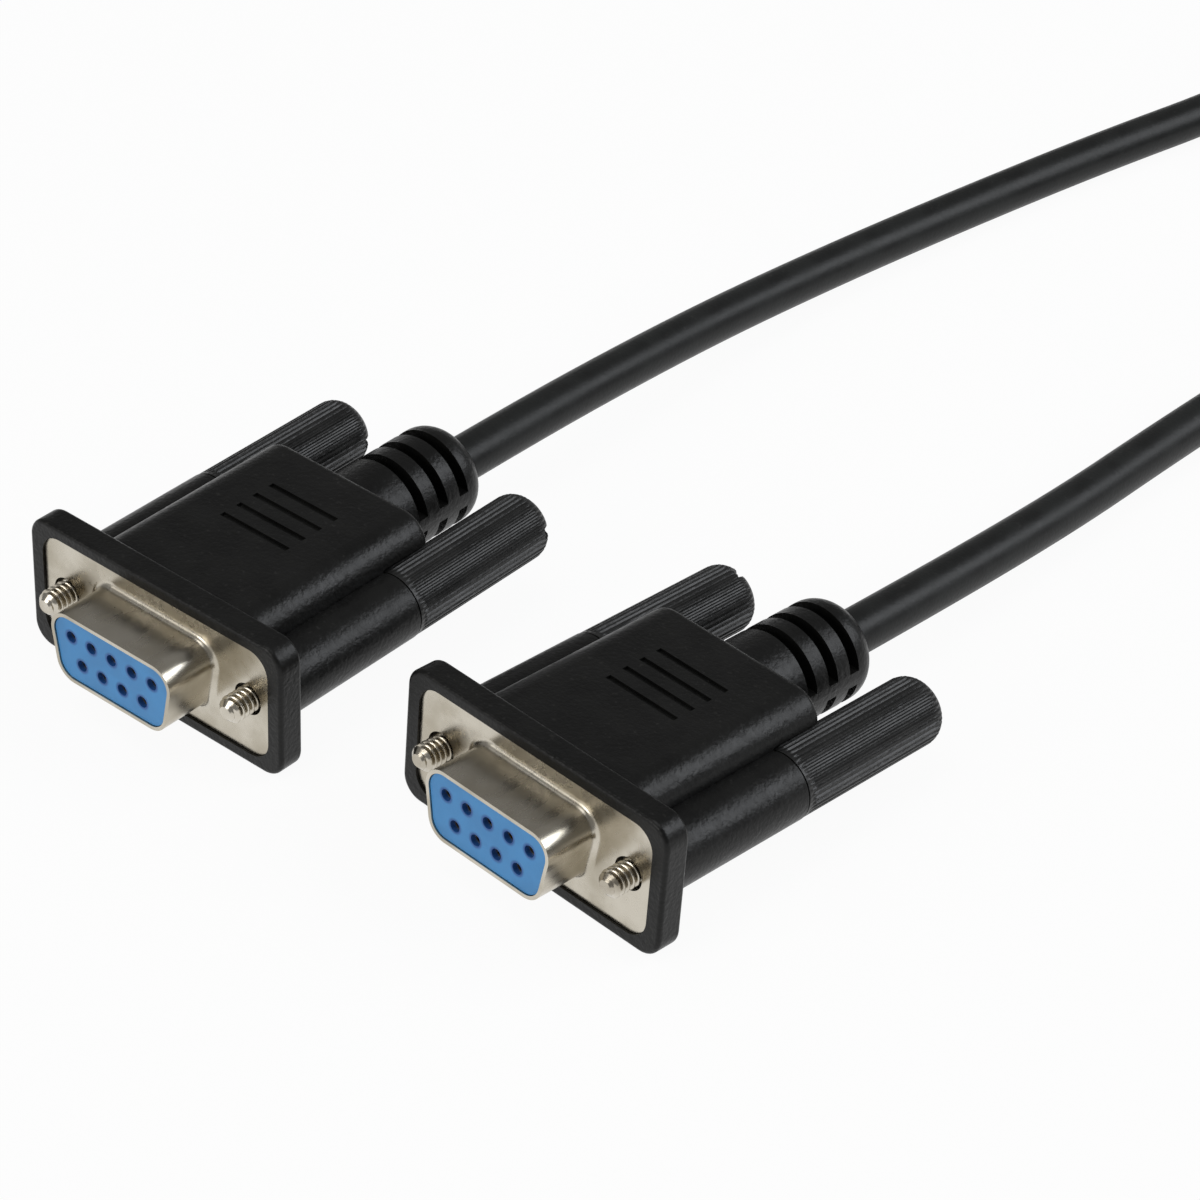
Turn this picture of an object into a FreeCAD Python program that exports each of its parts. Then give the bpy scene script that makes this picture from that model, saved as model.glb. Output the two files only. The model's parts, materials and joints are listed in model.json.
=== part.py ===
import FreeCAD, Part
import math
import os

import Sketcher

# A nine-way serial cable with the same moulded head at both ends, lying on a flat surface at Z = 0.
# Head A is square to the axes and faces -Y, with the middle of its flange's underside at the origin.
# Head B lies beside it, turned a little, and its tail rests lower, on the hood's rear edge.
# The cord's spare length is wound in a coil behind them.
# In a head's own frame the plate's front face is at Y = 0, +X is to the right seen from the front,
# +Y runs back towards the cord and +Z is up.

SIZES = {
    # metal plate and shells
    "plate_width": 30.81,
    "plate_height": 12.55,
    "plate_corner": 2.4,
    "plate_wall": 0.5,
    "screw_spacing": 24.99,
    "plate_hole_radius": 1.75,
    "shell_width": 16.33,
    "shell_height": 7.9,
    "shell_corner": 2.3,
    "shell_wall": 0.4,
    "shell_reach": 6.17,
    "shell_root_round": 0.7,
    "side_angle": 10.0,
    "tub_width": 17.7,
    "tub_height": 9.3,
    "tub_depth": 5.0,
    # insulators and contacts
    "insulator_recess": 0.17,
    "insulator_collar": 2.0,
    "rear_block_depth": 5.5,
    "contact_pitch": 2.77,
    "row_gap": 2.84,
    "contact_radius": 0.85,
    "contact_bore": 0.5,
    "contact_mouth": 0.62,
    "contact_setback": 0.6,
    "contact_length": 16.4,
    "socket_depth": 6.5,
    "cup_radius": 0.6,
    "cup_depth": 2.5,
    "wire_radius": 0.45,
    "wire_gather": 0.34,
    # moulded hood
    "rim_lead": 0.3,
    "flange_width": 34.4,
    "flange_height": 15.3,
    "flange_depth": 3.0,
    "flange_corner": 2.4,
    "flange_edge": 0.45,
    "hood_side_wall": 1.6,
    "hood_top_wall": 1.3,
    "hood_corner": 3.2,
    "hood_back": 27.3,
    "hood_edge": 0.9,
    "cavity_side_room": 0.75,
    "cavity_top_room": 0.55,
    "cavity_corner": 1.6,
    "cavity_back": 19.8,
    "boss_radius": 3.7,
    "boss_back": 20.6,
    "grip_count": 4.0,
    "grip_length": 9.0,
    "grip_width": 0.7,
    "grip_depth": 0.3,
    "grip_pitch": 2.3,
    "grip_front": 13.5,
    # strain relief
    "boot_radius": 5.45,
    "boot_back": 42.8,
    "boot_round": 2.7,
    "slot_count": 3.0,
    "slot_front": 32.2,
    "slot_width": 1.3,
    "slot_pitch": 3.05,
    "slot_floor": 3.9,
    "slot_web": 1.7,
    # inner mould and crimp ring
    "channel_width": 15.2,
    "channel_height": 5.4,
    "crimp_wall": 0.7,
    "crimp_length": 3.9,
    # jackscrews
    "thread_radius": 1.42,
    "screw_lead": 3.1,
    "screw_tip": 0.4,
    "shank_radius": 1.2,
    "shank_back": 33.0,
    "clip_groove": 0.9,
    "clip_radius": 2.1,
    "clip_wall": 0.6,
    "clip_front": 9.0,
    "clip_mouth": 1.5,
    "screw_travel": 4.0,
    "knob_radius": 3.65,
    "knob_length": 20.2,
    "knob_round": 1.9,
    "knob_slot": 1.2,
    "knob_slot_depth": 1.4,
    # clearances
    "running_gap": 0.06,
    "seat_gap": 0.05,
    "knob_gap": 0.2,
    "knob_room": 0.3,
    # cord
    "cord_radius": 2.5,
    "cord_inset": 18.0,
    "coil_radius": 29.2,
    "coil_width": 23.6,
    "coil_layers": 2.0,
    # where the heads lie
    "head_b_right": 43.74,
    "head_b_back": 4.77,
    "head_b_turn": 4.43,
    "head_b_sag": 2.6,
}

doc = FreeCAD.newDocument("serial_cable")
sheet = doc.addObject("Spreadsheet::Sheet", "Sizes")
for row, (alias, number) in enumerate(SIZES.items(), start=1):
    sheet.set(f"A{row}", alias)
    sheet.set(f"B{row}", str(number))
    sheet.setAlias(f"B{row}", alias)
doc.recompute()


def size(alias):
    """The sheet's value of one driving dimension, in millimetres or degrees."""
    return float(sheet.get(alias))


def bind(item, **expressions):
    """Bind properties of an object to the sheet; X, Y and Z stand for the parts of its place."""
    for name, expression in expressions.items():
        if name in ("X", "Y", "Z"):
            item.setExpression(f"Placement.Base.{name.lower()}", expression)
        else:
            item.setExpression(name, expression)
    return item


def cell(expression):
    """Write an expression with bare aliases as one that reads the sheet."""
    words = []
    for word in expression.replace("(", " ( ").replace(")", " ) ").split():
        words.append(f"Sizes.{word}" if word in SIZES else word)
    return " ".join(words).replace("tan (", "tan(")


# Primitives, each lying along +Y of its head

def rod(name, radius, front, back, centre_x="0", centre_z="0"):
    """A round bar along Y between two depths."""
    item = doc.addObject("Part::Cylinder", name)
    item.Placement.Rotation = FreeCAD.Rotation(FreeCAD.Vector(1, 0, 0), -90)
    bind(item, Radius=cell(radius), Height=cell(f"( {back} ) - ( {front} )"),
         X=cell(centre_x), Y=cell(front), Z=cell(centre_z))
    return item


def block(name, width, depth, height, centre_x, front, centre_z):
    """A box that is centred across and in height, and starts at a depth."""
    item = doc.addObject("Part::Box", name)
    bind(item, Length=cell(width), Width=cell(depth), Height=cell(height),
         X=cell(f"( {centre_x} ) - ( {width} ) / 2"), Y=cell(front),
         Z=cell(f"( {centre_z} ) - ( {height} ) / 2"))
    return item


def fused(name, shapes):
    """The union of several objects."""
    item = doc.addObject("Part::MultiFuse", name)
    item.Shapes = shapes
    item.Refine = True
    return item


def cut(name, base, tool):
    """The base object less the tool object."""
    item = doc.addObject("Part::Cut", name)
    item.Base = base
    item.Tool = tool
    return item


# Sketches, each on its own body's front plane at a depth

def front_sketch(body, name, depth):
    """An empty sketch square to the head's depth."""
    sketch = body.newObject("Sketcher::SketchObject", name)
    plane = next(item for item in body.Origin.OriginFeatures if item.Role == "XZ_Plane")
    sketch.AttachmentSupport = [(plane, "")]
    sketch.MapMode = "FlatFace"
    sketch.setExpression("AttachmentOffset.Base.z", cell(f"0 - ( {depth} )"))
    return sketch


def name_constraint(sketch, constraint, name, expression):
    """Add a driving constraint that reads the sheet."""
    index = sketch.addConstraint(constraint)
    sketch.renameConstraint(index, name)
    sketch.setExpression(f"Constraints.{name}", cell(expression))


def rounded_outline(sketch, top, bottom, high, corner):
    """Four lines and four equal corner arcs; returns nothing, leaves the loop tangent and closed.

    The centres of the top and bottom arcs lie at plus and minus top and bottom across.
    """
    lift = high / 2 - corner
    lean = math.atan2(top - bottom, 2 * lift)
    side = FreeCAD.Vector(math.cos(lean), -math.sin(lean), 0) * corner
    up = FreeCAD.Vector(0, corner, 0)
    flip = FreeCAD.Vector(-side.x, side.y, 0)
    corners = {
        "top_right": FreeCAD.Vector(top, lift, 0),
        "bottom_right": FreeCAD.Vector(bottom, -lift, 0),
        "bottom_left": FreeCAD.Vector(-bottom, -lift, 0),
        "top_left": FreeCAD.Vector(-top, lift, 0),
    }
    axis = FreeCAD.Vector(0, 0, 1)
    lines = [
        (corners["top_left"] + up, corners["top_right"] + up),
        (corners["top_right"] + side, corners["bottom_right"] + side),
        (corners["bottom_right"] - up, corners["bottom_left"] - up),
        (corners["bottom_left"] + flip, corners["top_left"] + flip),
    ]
    for start, end in lines:
        sketch.addGeometry(Part.LineSegment(start, end), False)
    arcs = [
        ("top_right", -lean, math.pi / 2),
        ("bottom_right", -math.pi / 2, -lean),
        ("bottom_left", math.pi + lean, 3 * math.pi / 2),
        ("top_left", math.pi / 2, math.pi + lean),
    ]
    for where, start, end in arcs:
        circle = Part.Circle(corners[where], axis, corner)
        sketch.addGeometry(Part.ArcOfCircle(circle, start, end), False)
    joints = [(0, 2, 4, 2), (4, 1, 1, 1), (1, 2, 5, 2), (5, 1, 2, 1),
              (2, 2, 6, 2), (6, 1, 3, 1), (3, 2, 7, 2), (7, 1, 0, 1)]
    for joint in joints:
        sketch.addConstraint(Sketcher.Constraint("Tangent", *joint))
    for arc in (5, 6, 7):
        sketch.addConstraint(Sketcher.Constraint("Equal", 4, arc))
    sketch.addConstraint(Sketcher.Constraint("Symmetric", 4, 3, 7, 3, -2))
    sketch.addConstraint(Sketcher.Constraint("Symmetric", 5, 3, 6, 3, -2))


def rectangle_sketch(body, name, depth, width, height, corner):
    """A rectangle with round corners, centred on the head's axis; sizes are expressions."""
    sketch = front_sketch(body, name, depth)
    wide, high, turn = evaluate(width), evaluate(height), evaluate(corner)
    rounded_outline(sketch, wide / 2 - turn, wide / 2 - turn, high, turn)
    name_constraint(sketch, Sketcher.Constraint("Radius", 4, turn), "corner", corner)
    name_constraint(sketch, Sketcher.Constraint("DistanceX", 7, 3, 4, 3, wide - 2 * turn),
                    "across_top", f"( {width} ) - 2 * ( {corner} )")
    name_constraint(sketch, Sketcher.Constraint("DistanceX", 6, 3, 5, 3, wide - 2 * turn),
                    "across_bottom", f"( {width} ) - 2 * ( {corner} )")
    name_constraint(sketch, Sketcher.Constraint("DistanceY", 5, 3, 4, 3, high - 2 * turn),
                    "rise", f"( {height} ) - 2 * ( {corner} )")
    name_constraint(sketch, Sketcher.Constraint("DistanceY", -1, 1, 4, 3, high / 2 - turn),
                    "centre_rise", f"( {height} ) / 2 - ( {corner} )")
    return sketch


def shell_sketch(body, name, depth, width, height, corner):
    """The shell's D outline, wide side up, with leaning sides; sizes are expressions."""
    sketch = front_sketch(body, name, depth)
    wide, high, turn = evaluate(width), evaluate(height), evaluate(corner)
    lean = math.tan(math.radians(size("side_angle")))
    top = wide / 2 - turn
    bottom = top - (high - 2 * turn) * lean
    rounded_outline(sketch, top, bottom, high, turn)
    across = f"( {width} ) - 2 * ( {corner} )"
    fall = f"( ( {height} ) - 2 * ( {corner} ) ) * tan( side_angle * 1 deg )"
    name_constraint(sketch, Sketcher.Constraint("Radius", 4, turn), "corner", corner)
    name_constraint(sketch, Sketcher.Constraint("DistanceX", 7, 3, 4, 3, 2 * top), "across_top", across)
    name_constraint(sketch, Sketcher.Constraint("DistanceX", 6, 3, 5, 3, 2 * bottom),
                    "across_bottom", f"{across} - 2 * {fall}")
    name_constraint(sketch, Sketcher.Constraint("DistanceY", 5, 3, 4, 3, high - 2 * turn),
                    "rise", f"( {height} ) - 2 * ( {corner} )")
    name_constraint(sketch, Sketcher.Constraint("DistanceY", -1, 1, 4, 3, high / 2 - turn),
                    "centre_rise", f"( {height} ) / 2 - ( {corner} )")
    return sketch


def round_sketch(body, name, depth, radius, centres):
    """Equal circles at places given as pairs of expressions."""
    sketch = front_sketch(body, name, depth)
    axis = FreeCAD.Vector(0, 0, 1)
    for number, (across, up) in enumerate(centres):
        place = FreeCAD.Vector(evaluate(across), evaluate(up), 0)
        index = sketch.addGeometry(Part.Circle(place, axis, evaluate(radius)), False)
        name_constraint(sketch, Sketcher.Constraint("Radius", index, evaluate(radius)),
                        f"radius_{number}", radius)
        for word, kind, value, expression in (("across", "DistanceX", place.x, across),
                                              ("up", "DistanceY", place.y, up)):
            if value == 0:
                on_axis = -2 if kind == "DistanceX" else -1
                sketch.addConstraint(Sketcher.Constraint("PointOnObject", index, 3, on_axis))
            else:
                name_constraint(sketch, Sketcher.Constraint(kind, -1, 1, index, 3, value),
                                f"{word}_{number}", expression)
    return sketch


def evaluate(expression):
    """The number that an expression of bare aliases stands for."""
    probe = sheet.evalExpression(cell(expression).replace("Sizes.", ""))
    return float(getattr(probe, "Value", probe))


def pad(body, sketch, depth):
    """Push a sketch back along +Y and add it."""
    feature = body.newObject("PartDesign::Pad", f"{sketch.Name}_pad")
    feature.Profile = sketch
    feature.Reversed = True
    feature.setExpression("Length", cell(depth))
    sketch.Visibility = False
    return feature


def pocket(body, sketch, depth):
    """Cut a sketch back along +Y."""
    feature = body.newObject("PartDesign::Pocket", f"{sketch.Name}_pocket")
    feature.Profile = sketch
    feature.setExpression("Length", cell(depth))
    sketch.Visibility = False
    return feature


def round_edges(body, base, test, radius):
    """Fillet the edges of the last feature that pass a test."""
    doc.recompute()
    names = [f"Edge{number}" for number, edge in enumerate(base.Shape.Edges, start=1) if test(edge)]
    feature = body.newObject("PartDesign::Fillet", f"{base.Name}_round")
    feature.Base = (base, names)
    feature.setExpression("Radius", cell(radius))
    return feature


def at_depth(edge, depth):
    """Whether an edge lies wholly at one depth."""
    box = edge.BoundBox
    return abs(box.YMin - depth) < 1e-4 and abs(box.YMax - depth) < 1e-4


SCREW_SIDES = {"left": "0 - screw_spacing / 2", "right": "screw_spacing / 2"}
CONTACTS = [(f"( {place - 2} ) * contact_pitch", "row_gap / 2") for place in range(5)]
CONTACTS += [(f"( {place - 1.5} ) * contact_pitch", "0 - row_gap / 2") for place in range(4)]
FLANGE_FRONT = "0 - rim_lead"
FLANGE_BACK = "flange_depth - rim_lead"
SHELL_STACK = "2 * plate_wall"
CAVITY_WIDTH = "tub_width + 2 * cavity_side_room"
CAVITY_HEIGHT = "tub_height + 2 * cavity_top_room"
HOOD_WIDTH = f"{CAVITY_WIDTH} + 2 * hood_side_wall"
HOOD_HEIGHT = f"{CAVITY_HEIGHT} + 2 * hood_top_wall"
KNOB_FRONT = "boss_back + knob_gap"
SLOT_TURNS = {("a", "left"): 90, ("a", "right"): 80, ("b", "left"): 12, ("b", "right"): -50}


# The pieces of one head

def make_hood(tag):
    """The moulded hood: flange, box, two screw tubes and a slotted strain relief, in one piece."""
    body = doc.addObject("PartDesign::Body", f"hood_mould_{tag}")
    flange = pad(body, rectangle_sketch(body, f"flange_{tag}", FLANGE_FRONT, "flange_width",
                                        "flange_height", "flange_corner"), "flange_depth")
    front, back = evaluate(FLANGE_FRONT), evaluate(FLANGE_BACK)
    round_edges(body, flange, lambda edge: at_depth(edge, front) or at_depth(edge, back), "flange_edge")
    box = pad(body, rectangle_sketch(body, f"box_{tag}", "plate_wall", HOOD_WIDTH, HOOD_HEIGHT,
                                     "hood_corner"), "hood_back - plate_wall")
    end = size("hood_back")
    round_edges(body, box, lambda edge: at_depth(edge, end), "hood_edge")
    tubes = [(across, "0") for across in SCREW_SIDES.values()]
    pad(body, round_sketch(body, f"tubes_{tag}", "plate_wall", "boss_radius", tubes),
        "boss_back - plate_wall")
    boot = pad(body, round_sketch(body, f"boot_{tag}", "cavity_back", "boot_radius", [("0", "0")]),
               "boot_back - cavity_back")
    tail = size("boot_back")
    round_edges(body, boot, lambda edge: at_depth(edge, tail), "boot_round")
    pocket(body, rectangle_sketch(body, f"plate_seat_{tag}", FLANGE_FRONT,
                                  "plate_width + 2 * seat_gap", "plate_height + 2 * seat_gap",
                                  "plate_corner + seat_gap"), f"rim_lead + {SHELL_STACK}")
    pocket(body, rectangle_sketch(body, f"cavity_{tag}", SHELL_STACK, CAVITY_WIDTH,
                                  CAVITY_HEIGHT, "cavity_corner"), f"cavity_back - {SHELL_STACK}")
    pocket(body, round_sketch(body, f"crimp_seat_{tag}", "cavity_back - 0.1",
                              "cord_radius + crimp_wall + seat_gap", [("0", "0")]),
           "crimp_length + 0.2 + seat_gap")
    pocket(body, round_sketch(body, f"cord_bore_{tag}", "cavity_back", "cord_radius", [("0", "0")]),
           "boot_back - cavity_back + 1")
    pocket(body, round_sketch(body, f"screw_bores_{tag}", f"{SHELL_STACK} - 0.2",
                              "thread_radius + running_gap", tubes), "boss_back")
    pocket(body, round_sketch(body, f"clip_rooms_{tag}", "clip_front - seat_gap",
                              "clip_radius + seat_gap", tubes),
           "clip_wall + screw_travel + 2 * seat_gap")
    tools = [ring_slot(tag, number) for number in range(int(size("slot_count")))]
    tools += [grip_groove(tag, number) for number in range(int(size("grip_count")))]
    tools += [rod(f"knob_room_{tag}_{side}", "knob_radius + knob_room", "boss_back", "hood_back + 1",
                  across) for side, across in SCREW_SIDES.items()]
    return cut(f"hood_{tag}", body, fused(f"hood_cuts_{tag}", tools))


def ring_slot(tag, number):
    """One slot round the strain relief, broken by a web on each side."""
    front = f"slot_front + {number} * slot_pitch"
    outer = rod(f"slot_outer_{tag}_{number}", "boot_radius + 1", front, f"{front} + slot_width")
    inner = rod(f"slot_inner_{tag}_{number}", "slot_floor", f"{front} - 1", f"{front} + slot_width + 1")
    webs = block(f"slot_webs_{tag}_{number}", "2 * boot_radius + 4", "slot_width + 2", "slot_web",
                 "0", f"{front} - 1", "0")
    return cut(f"slot_{tag}_{number}", outer, fused(f"slot_keep_{tag}_{number}", [inner, webs]))


def grip_groove(tag, number):
    """One plain groove across the hood's top."""
    return block(f"grip_{tag}_{number}", "grip_length", "grip_width", "2 * grip_depth", "0",
                 f"grip_front + {number} * grip_pitch", f"( {HOOD_HEIGHT} ) / 2")


def make_front_shell(tag):
    """The drawn front shell: a plate with two screw holes and the D-shaped sleeve."""
    body = doc.addObject("PartDesign::Body", f"front_shell_{tag}")
    pad(body, rectangle_sketch(body, f"front_plate_{tag}", "0", "plate_width", "plate_height",
                               "plate_corner"), "plate_wall")
    sleeve = pad(body, shell_sketch(body, f"sleeve_{tag}", "0 - shell_reach", "shell_width",
                                    "shell_height", "shell_corner"), "shell_reach")
    round_edges(body, sleeve, sleeve_root, "shell_root_round")
    pocket(body, shell_sketch(body, f"sleeve_bore_{tag}", "0 - shell_reach - 1",
                              "shell_width - 2 * shell_wall", "shell_height - 2 * shell_wall",
                              "shell_corner - shell_wall"), "shell_reach + plate_wall + 2")
    holes = [(across, "0") for across in SCREW_SIDES.values()]
    pocket(body, round_sketch(body, f"front_holes_{tag}", "0 - shell_root_round", "plate_hole_radius",
                              holes), "2 * plate_wall + shell_root_round")
    return body


def sleeve_root(edge):
    """Whether an edge is part of the corner where the sleeve leaves the plate."""
    box = edge.BoundBox
    inside = max(abs(box.XMin), abs(box.XMax)) < size("shell_width") / 2 + 0.01
    return at_depth(edge, 0) and inside and abs(box.Center.z) < size("shell_height") / 2 + 0.01


def make_rear_shell(tag):
    """The rear shell: a plate behind the first and an open D-shaped tub."""
    body = doc.addObject("PartDesign::Body", f"rear_shell_{tag}")
    pad(body, rectangle_sketch(body, f"rear_plate_{tag}", "plate_wall", "plate_width",
                               "plate_height", "plate_corner"), "plate_wall")
    pad(body, shell_sketch(body, f"tub_{tag}", "plate_wall", "tub_width", "tub_height",
                           "shell_corner + shell_wall"), "plate_wall + tub_depth")
    pocket(body, shell_sketch(body, f"tub_bore_{tag}", "0", "tub_width - 2 * shell_wall",
                              "tub_height - 2 * shell_wall", "shell_corner"), "tub_depth + 3")
    holes = [(across, "0") for across in SCREW_SIDES.values()]
    pocket(body, round_sketch(body, f"rear_holes_{tag}", "0", "plate_hole_radius", holes),
           "3 * plate_wall")
    return body


def make_front_insulator(tag):
    """The socket block in the sleeve, with a collar that the rear shell traps."""
    body = doc.addObject("PartDesign::Body", f"front_insulator_{tag}")
    slack = "( 2 * shell_wall + 2 * seat_gap )"
    pad(body, shell_sketch(body, f"face_{tag}", "insulator_recess - shell_reach",
                           f"shell_width - {slack}", f"shell_height - {slack}",
                           "shell_corner - shell_wall - seat_gap"),
        "shell_reach - insulator_recess + plate_wall + seat_gap")
    pad(body, shell_sketch(body, f"collar_{tag}", "plate_wall", f"tub_width - {slack}",
                           f"tub_height - {slack}", "shell_corner - seat_gap"), "insulator_collar")
    pocket(body, round_sketch(body, f"mouths_{tag}", "0 - shell_reach", "contact_mouth", CONTACTS),
           "shell_reach")
    pocket(body, round_sketch(body, f"front_seats_{tag}",
                              "insulator_recess + contact_setback - shell_reach",
                              "contact_radius + 0.01", CONTACTS), "shell_reach + 6")
    return body


def make_rear_insulator(tag):
    """The block behind the first, through which the contacts' tails pass."""
    body = doc.addObject("PartDesign::Body", f"rear_insulator_{tag}")
    slack = "( 2 * shell_wall + 2 * seat_gap )"
    pad(body, shell_sketch(body, f"rear_block_{tag}", "plate_wall + insulator_collar",
                           f"tub_width - {slack}", f"tub_height - {slack}",
                           "shell_corner - seat_gap"), "rear_block_depth")
    pocket(body, round_sketch(body, f"rear_seats_{tag}", "0", "contact_radius + 0.01", CONTACTS),
           "rear_block_depth + 6")
    return body


def make_contact(tag, number):
    """One turned socket contact with a bore in front and a solder cup behind."""
    across, up = CONTACTS[number - 1]
    front = "insulator_recess + contact_setback - shell_reach"
    back = f"{front} + contact_length"
    outer = rod(f"contact_bar_{tag}_{number}", "contact_radius", front, back, across, up)
    bore = rod(f"contact_bore_{tag}_{number}", "contact_bore", f"{front} - 1",
               f"{front} + socket_depth", across, up)
    cup = rod(f"contact_cup_{tag}_{number}", "cup_radius", f"{back} - cup_depth", f"{back} + 1",
              across, up)
    return cut(f"contact_{tag}_{number}", outer, fused(f"contact_holes_{tag}_{number}", [bore, cup]))


def make_wires(tag):
    """Nine insulated wires, from the solder cups to the cord's core, as separate solids."""
    start = evaluate("insulator_recess + contact_setback - shell_reach + contact_length - cup_depth / 2")
    end = size("cord_inset")
    gather = size("wire_gather")
    reach = evaluate(CAVITY_WIDTH)
    solids = []
    for across, up in CONTACTS:
        x, z = evaluate(across), evaluate(up)
        first = FreeCAD.Vector(x, start, z)
        step = FreeCAD.Vector(x, evaluate("contact_length + insulator_recess + contact_setback - shell_reach"), z)
        last = FreeCAD.Vector(x * gather, end, z * gather)
        straight = Part.makeCylinder(size("wire_radius"), (step - first).Length, first, step - first)
        lean = Part.makeCylinder(size("wire_radius"), (last - step).Length + 1, step, last - step)
        ball = Part.makeSphere(size("wire_radius"), step)
        wire = straight.fuse([lean, ball])
        behind = Part.makeBox(reach, reach, reach, FreeCAD.Vector(-reach / 2, end, -reach / 2))
        solids.append(wire.cut(behind).removeSplitter().Solids[0])
    item = doc.addObject("Part::Feature", f"wires_{tag}")
    item.Shape = Part.makeCompound(solids)
    return item


def make_inner_mould(tag):
    """The inner mould that fills the hood round the wires and holds the cord's end."""
    body = doc.addObject("PartDesign::Body", f"inner_mould_{tag}")
    front = f"{SHELL_STACK} + tub_depth + seat_gap"
    pad(body, rectangle_sketch(body, f"mould_{tag}", front, f"{CAVITY_WIDTH} - 2 * seat_gap",
                               f"{CAVITY_HEIGHT} - 2 * seat_gap", "cavity_corner"),
        f"cavity_back - seat_gap - ( {front} )")
    seat = "plate_wall + insulator_collar + rear_block_depth + seat_gap"
    pocket(body, shell_sketch(body, f"block_seat_{tag}", "plate_wall",
                              "tub_width - 2 * shell_wall", "tub_height - 2 * shell_wall",
                              "shell_corner"), f"{seat} - plate_wall")
    pocket(body, rectangle_sketch(body, f"channel_{tag}", "plate_wall", "channel_width",
                                  "channel_height", "cavity_corner"), "cord_inset - plate_wall")
    pocket(body, round_sketch(body, f"neck_{tag}", "cord_inset - 1", "cord_radius", [("0", "0")]),
           "cavity_back - cord_inset + 3")
    return body


def make_crimp_ring(tag):
    """The metal ring crimped round the cord behind the inner mould."""
    outer = rod(f"crimp_outer_{tag}", "cord_radius + crimp_wall", "cavity_back",
                "cavity_back + crimp_length")
    inner = rod(f"crimp_inner_{tag}", "cord_radius", "cavity_back - 1",
                "cavity_back + crimp_length + 1")
    return cut(f"crimp_ring_{tag}", outer, inner)


def make_jackscrew(tag, side):
    """The steel screw: threaded end, thinner shank and a groove for its clip."""
    across = SCREW_SIDES[side]
    tip = doc.addObject("Part::Cone", f"screw_tip_{tag}_{side}")
    tip.Placement.Rotation = FreeCAD.Rotation(FreeCAD.Vector(1, 0, 0), -90)
    bind(tip, Radius1=cell("thread_radius - screw_tip"), Radius2=cell("thread_radius"),
         Height=cell("screw_tip"), X=cell(across), Y=cell("0 - screw_lead"), Z="0")
    thread = rod(f"screw_thread_{tag}_{side}", "thread_radius", "screw_tip - screw_lead", "0", across)
    shank = rod(f"screw_shank_{tag}_{side}", "shank_radius", "0 - screw_tip", "shank_back", across)
    whole = fused(f"screw_blank_{tag}_{side}", [tip, thread, shank])
    back = "clip_front + clip_wall + seat_gap"
    ring = rod(f"groove_outer_{tag}_{side}", "thread_radius + 1", "clip_front - seat_gap", back, across)
    core = rod(f"groove_core_{tag}_{side}", "clip_groove", "clip_front - 1", f"{back} + 1", across)
    return cut(f"jackscrew_{tag}_{side}", whole, cut(f"clip_groove_{tag}_{side}", ring, core))


def make_clip(tag, side):
    """The open ring that keeps the screw in the hood, in the screw's groove."""
    across = SCREW_SIDES[side]
    outer = rod(f"clip_outer_{tag}_{side}", "clip_radius", "clip_front", "clip_front + clip_wall", across)
    inner = rod(f"clip_inner_{tag}_{side}", "clip_groove + running_gap", "clip_front - 1",
                "clip_front + clip_wall + 1", across)
    mouth = block(f"clip_mouth_{tag}_{side}", "clip_mouth", "clip_wall + 2", "clip_radius + 1", across,
                  "clip_front - 1", "( clip_radius + 1 ) / 2")
    return cut(f"screw_clip_{tag}_{side}", outer, fused(f"clip_open_{tag}_{side}", [inner, mouth]))


def make_knob(tag, side):
    """The moulded thumb knob, pressed on the screw's end, with a driver slot across it."""
    across = SCREW_SIDES[side]
    body = doc.addObject("PartDesign::Body", f"knob_{tag}_{side}")
    barrel = pad(body, round_sketch(body, f"barrel_{tag}_{side}", KNOB_FRONT, "knob_radius",
                                    [(across, "0")]), "knob_length")
    end = evaluate(f"{KNOB_FRONT} + knob_length")
    round_edges(body, barrel, lambda edge: at_depth(edge, end), "knob_round")
    pocket(body, round_sketch(body, f"knob_bore_{tag}_{side}", f"{KNOB_FRONT} - 1", "shank_radius",
                              [(across, "0")]), f"shank_back - ( {KNOB_FRONT} ) + 1")
    slot = block(f"driver_slot_{tag}_{side}", "knob_slot", "knob_slot_depth + 1", "2 * knob_radius + 2",
                 across, f"{KNOB_FRONT} + knob_length - knob_slot_depth", "0")
    body.Label = f"knob_blank_{tag}_{side}"
    knob = cut(f"thumb_knob_{tag}_{side}", body, slot)
    turn = FreeCAD.Rotation(FreeCAD.Vector(0, 1, 0), SLOT_TURNS[tag, side])
    knob.Placement = FreeCAD.Placement(FreeCAD.Vector(), turn, FreeCAD.Vector(evaluate(across), 0, 0))
    return knob


def make_head(tag):
    """Every piece of one head, in the head's own frame."""
    pieces = [make_hood(tag), make_front_shell(tag), make_rear_shell(tag),
              make_front_insulator(tag), make_rear_insulator(tag), make_wires(tag),
              make_inner_mould(tag), make_crimp_ring(tag)]
    pieces += [make_contact(tag, number) for number in range(1, len(CONTACTS) + 1)]
    for side in SCREW_SIDES:
        pieces += [make_jackscrew(tag, side), make_clip(tag, side), make_knob(tag, side)]
    return pieces


# The cord

def head_place(tag):
    """Where a head's own frame lies on the surface."""
    half = size("flange_height") / 2
    if tag == "a":
        flange_middle = evaluate(f"( {FLANGE_FRONT} + {FLANGE_BACK} ) / 2")
        return FreeCAD.Placement(FreeCAD.Vector(0, -flange_middle, half), FreeCAD.Rotation())
    sag = math.radians(size("head_b_sag"))
    edge = size("flange_edge")
    lift = (half - edge) * math.cos(sag) + (evaluate(FLANGE_BACK) - edge) * math.sin(sag) + edge
    turn = FreeCAD.Rotation(FreeCAD.Vector(0, 0, 1), -size("head_b_turn"))
    tilt = FreeCAD.Rotation(FreeCAD.Vector(1, 0, 0), -size("head_b_sag"))
    return FreeCAD.Placement(FreeCAD.Vector(size("head_b_right"), size("head_b_back"), lift), turn * tilt)


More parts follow.
